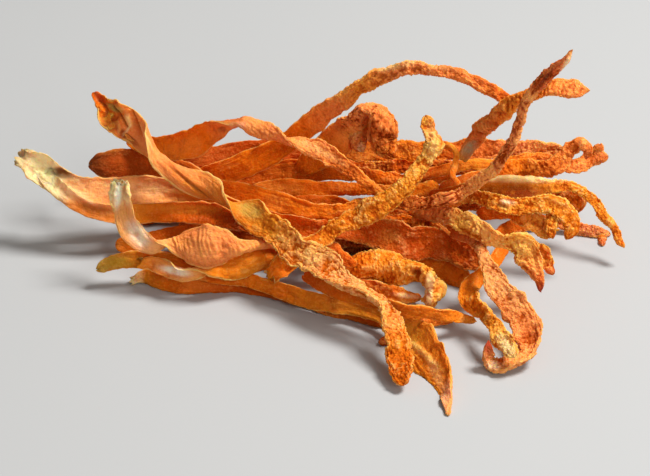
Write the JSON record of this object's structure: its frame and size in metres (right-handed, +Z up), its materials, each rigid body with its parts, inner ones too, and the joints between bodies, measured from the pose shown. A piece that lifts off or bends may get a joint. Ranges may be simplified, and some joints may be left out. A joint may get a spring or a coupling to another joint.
{
  "type": "dried cordyceps bundle",
  "caption": "Loose heap of dried orange cordyceps strands, twisted ribbons with granular tips, lying across each other for cooking, display or decoration.",
  "frame": {"origin": "on the table under the middle of the heap's bounding box", "axes": "+Z up from the table; +X along the heap from the strands' bases to their tips; +Y away from the side that the heap is looked at from"},
  "size_m": [0.1048, 0.0716, 0.0444],
  "materials": {
    "deep_orange_skin": "dull brown-orange to maroon dried skin, finely granular",
    "orange_skin": "dull orange dried skin, finely granular, paler on the dried rims",
    "golden_skin": "yellow-orange dried skin with pale rims, granular towards the tips",
    "cream_skin": "cream and pale yellow torn base, running into satin orange skin"
  },
  "bodies": {
    "root": {"diagonal_strand": "golden_skin", "leaf_tip_strand": "orange_skin", "front_low_strand": "orange_skin", "long_low_strand": "orange_skin", "pale_cup_strand": "golden_skin", "wrinkled_leaf_strand": "orange_skin", "forked_base_strand": "cream_skin", "tall_pointed_strand": "deep_orange_skin", "loop_over_strand": "orange_skin", "tall_arch_strand": "orange_skin", "ribbed_strand": "orange_skin", "rear_long_strand": "orange_skin", "folded_top_strand": "deep_orange_skin", "thin_hook_strand": "golden_skin", "saddle_strand": "orange_skin", "right_curl_strand": "orange_skin", "drooping_strand": "golden_skin", "ring_tip_strand": "deep_orange_skin", "hook_tip_strand": "golden_skin", "hanging_leaf_strand": "orange_skin", "rear_table_strand": "orange_skin", "forked_tip_strand": "golden_skin", "front_curl_strand": "orange_skin", "pale_tip_strand": "golden_skin", "saddle_ribbon": "orange_skin", "red_strand": "deep_orange_skin", "upright_strand": "golden_skin", "rear_left_strand": "deep_orange_skin", "mid_rear_strand_a": "orange_skin", "mid_rear_strand_b": "orange_skin", "mid_rear_strand_c": "deep_orange_skin", "lobe_base_strand": "deep_orange_skin", "under_ribbon_strand": "golden_skin", "tucked_tip_strand": "deep_orange_skin", "rear_floor_strand_a": "deep_orange_skin", "rear_floor_strand_b": "deep_orange_skin", "rear_floor_strand_c": "deep_orange_skin", "rear_mid_strand_a": "deep_orange_skin", "rear_mid_strand_b": "orange_skin", "rear_right_strand": "orange_skin"}
  },
  "joints": []
}
